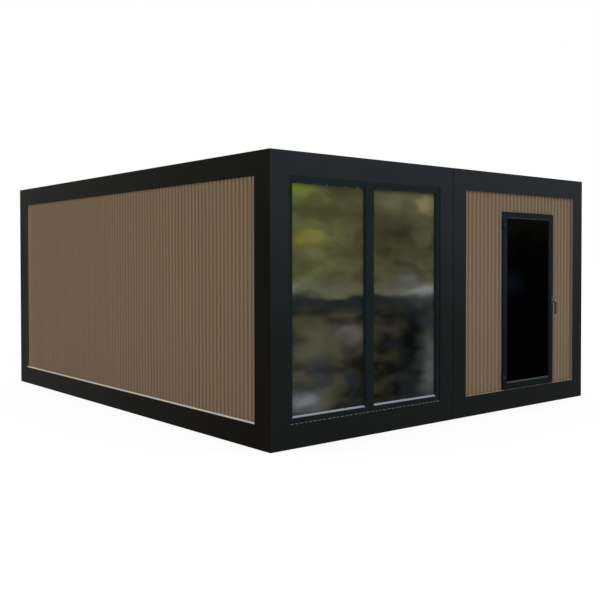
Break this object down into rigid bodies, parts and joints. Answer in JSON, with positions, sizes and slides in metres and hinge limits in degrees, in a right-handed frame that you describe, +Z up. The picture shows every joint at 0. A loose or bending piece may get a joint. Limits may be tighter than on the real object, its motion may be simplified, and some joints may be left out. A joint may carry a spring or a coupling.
{
  "type": "container house",
  "caption": "Two steel-framed cabin modules side by side with ribbed brown cladding, a tall fixed window and a glazed hinged door.",
  "frame": {"origin": "middle of the footprint at ground level, under the floor beams", "axes": "+Z up, front with window and door towards -Y, +X to the right seen from the front"},
  "size_m": [4.878, 6.1373, 2.725],
  "materials": {
    "frame_steel": "satin near-black frame paint",
    "cladding": "matt brown ribbed panel skin",
    "galvanised_steel": "galvanised",
    "roof_sheet": "grey coated sheet",
    "floor_board": "laminate covered board",
    "ceiling_board": "white coated board",
    "base_flashing": "pale cream folded flashing",
    "foot_strip": "pale tan strip",
    "edge_return": "brown edge trim",
    "packer": "black packing strip",
    "window_frame": "satin dark grey powder coat",
    "window_glass": "tinted double glazing",
    "door_frame": "satin dark grey powder coat",
    "door_glass": "dark tinted double glazing",
    "hinge_metal": "dark coated steel",
    "handle_metal": "dark grey metal"
  },
  "bodies": {
    "house": {"floor_corner_blocks": "frame_steel", "roof_corner_blocks": "frame_steel", "floor_front_beams": "frame_steel", "floor_rear_beams": "frame_steel", "floor_side_beams": "frame_steel", "floor_middle_beams": "frame_steel", "roof_front_beams": "frame_steel", "roof_rear_beams": "frame_steel", "roof_side_beams": "frame_steel", "roof_middle_beams": "frame_steel", "front_corner_posts": "frame_steel", "front_middle_posts": "frame_steel", "rear_corner_posts": "frame_steel", "rear_middle_posts": "frame_steel", "module_seam_seals": "packer", "floor_joists": "galvanised_steel", "roof_purlins": "galvanised_steel", "roof_sheets": "roof_sheet", "floor_boards": "floor_board", "ceiling_boards": "ceiling_board", "left_wall": "cladding", "right_wall": "cladding", "rear_wall": "cladding", "front_wall_left_of_door": "cladding", "front_wall_right_of_door": "cladding", "front_wall_over_door": "cladding", "side_base_flashings": "base_flashing", "front_foot_strips": "foot_strip", "front_edge_returns": "edge_return", "front_edge_seal": "packer", "window_packers": "packer", "window_jambs": "window_frame", "window_head": "window_frame", "window_sill": "window_frame", "window_mullion": "window_frame", "window_inner_beads": "window_frame", "window_glass": "window_glass", "door_packer": "packer", "door_frame_jambs": "door_frame", "door_frame_head": "door_frame", "door_threshold": "door_frame", "door_frame_hinges": "hinge_metal", "strike_plate": "handle_metal"},
    "door_leaf": {"lock_faceplate": "handle_metal", "leaf_hinge_stile": "door_frame", "leaf_lock_stile": "door_frame", "leaf_top_rail": "door_frame", "leaf_bottom_rail": "door_frame", "leaf_inner_beads": "door_frame", "leaf_glass": "door_glass", "leaf_hinges": "hinge_metal", "handle_roses": "handle_metal"},
    "door_handle": {"handle_outer_lever": "handle_metal", "handle_inner_lever": "handle_metal", "handle_spindle": "hinge_metal"}
  },
  "joints": [
    {"name": "door_hinge", "type": "hinge", "parent": "house", "child": "door_leaf", "pos_m": [0.852, -3.038, 1.2], "axis": [0, 0, -1], "range_deg": [0, 100]},
    {"name": "handle_turn", "type": "hinge", "parent": "door_leaf", "child": "door_handle", "pos_m": [1.774, -3.029, 1.233], "axis": [0, 1, 0], "range_deg": [0, 90]}
  ]
}
